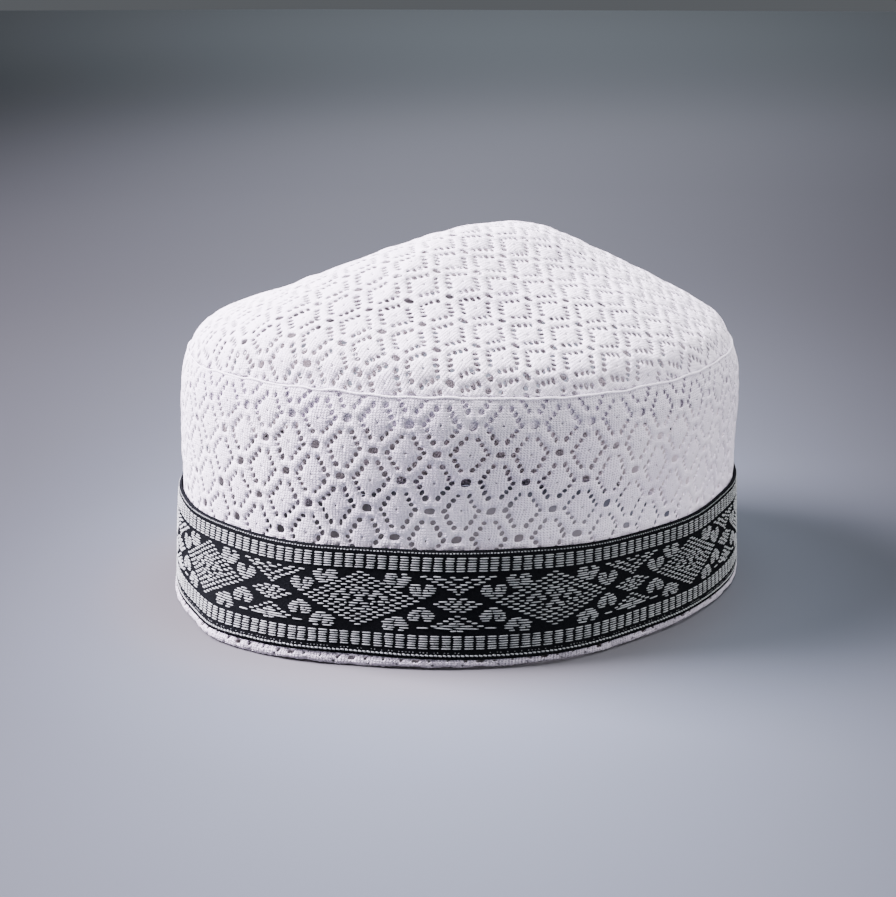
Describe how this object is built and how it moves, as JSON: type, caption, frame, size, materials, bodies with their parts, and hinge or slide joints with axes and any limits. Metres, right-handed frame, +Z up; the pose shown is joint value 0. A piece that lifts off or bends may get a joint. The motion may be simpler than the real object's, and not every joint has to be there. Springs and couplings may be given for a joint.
{
  "type": "prayer cap",
  "caption": "Round soft prayer cap: white lace side band and low domed crown, rolled seam, and a black patterned ribbon above the hem.",
  "frame": {"origin": "on the surface that the hem stands on, at the middle of the cap's plan", "axes": "+Z up, +Y from the front of the cap to its back along the long axis of the oval, +X to the right of someone facing the front"},
  "size_m": [0.17, 0.1964, 0.1103],
  "materials": {
    "side_band": "white knitted lace cloth, matt",
    "crown": "white knitted lace cloth, matt",
    "seam_allowance": "the crown's white cloth, turned down inside the band",
    "seam_roll": "white rolled seam of the same cloth",
    "ribbon_trim": "black woven ribbon with raised pale grey floats"
  },
  "bodies": {
    "root": {"side_band": "side_band", "crown": "crown", "seam_allowance": "seam_allowance", "seam_roll": "seam_roll", "ribbon_trim": "ribbon_trim"}
  },
  "joints": []
}
